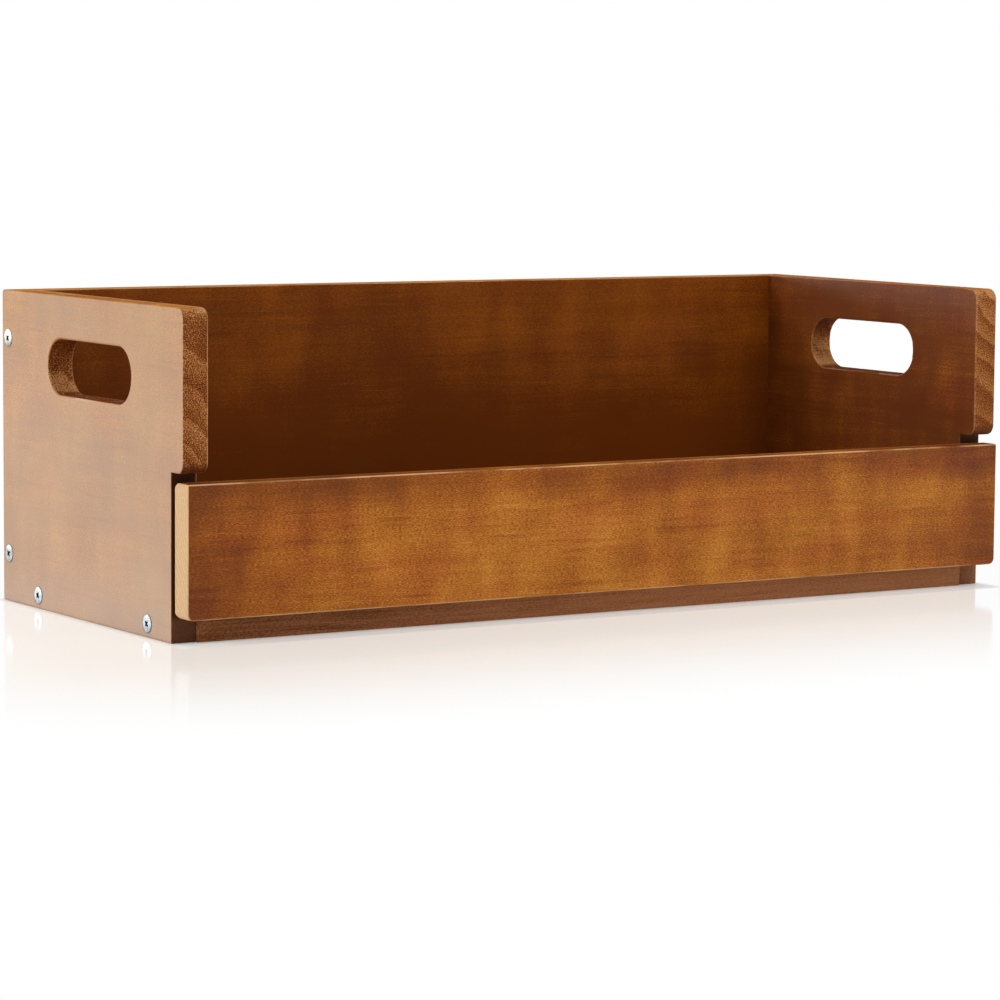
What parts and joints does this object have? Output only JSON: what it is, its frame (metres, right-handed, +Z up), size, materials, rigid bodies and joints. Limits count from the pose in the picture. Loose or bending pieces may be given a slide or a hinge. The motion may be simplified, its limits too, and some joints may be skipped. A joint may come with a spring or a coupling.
{
  "type": "cd storage box",
  "caption": "Open-top stained wood box with stepped side boards, hand slots and a low front board, for keeping disc cases upright.",
  "frame": {"origin": "on the floor, under the middle of the box's width and whole depth", "axes": "+X to the right seen from the front, +Y to the back panel, +Z up"},
  "size_m": [0.4366, 0.183, 0.143],
  "materials": {
    "stained_wood": "walnut brown stain under satin clear lacquer, fine straight grain",
    "zinc_steel": "bright zinc plating",
    "bare_wood": "bare turned hardwood"
  },
  "bodies": {
    "root": {"left_side": "stained_wood", "right_side": "stained_wood", "back_panel": "stained_wood", "bottom_panel": "stained_wood", "front_board": "stained_wood", "left_back_upper_screw": "zinc_steel", "left_back_lower_screw": "zinc_steel", "left_bottom_rear_screw": "zinc_steel", "left_bottom_front_screw": "zinc_steel", "right_back_upper_screw": "zinc_steel", "right_back_lower_screw": "zinc_steel", "right_bottom_rear_screw": "zinc_steel", "right_bottom_front_screw": "zinc_steel", "left_upper_dowel": "bare_wood", "left_lower_dowel": "bare_wood", "right_upper_dowel": "bare_wood", "right_lower_dowel": "bare_wood"}
  },
  "joints": []
}
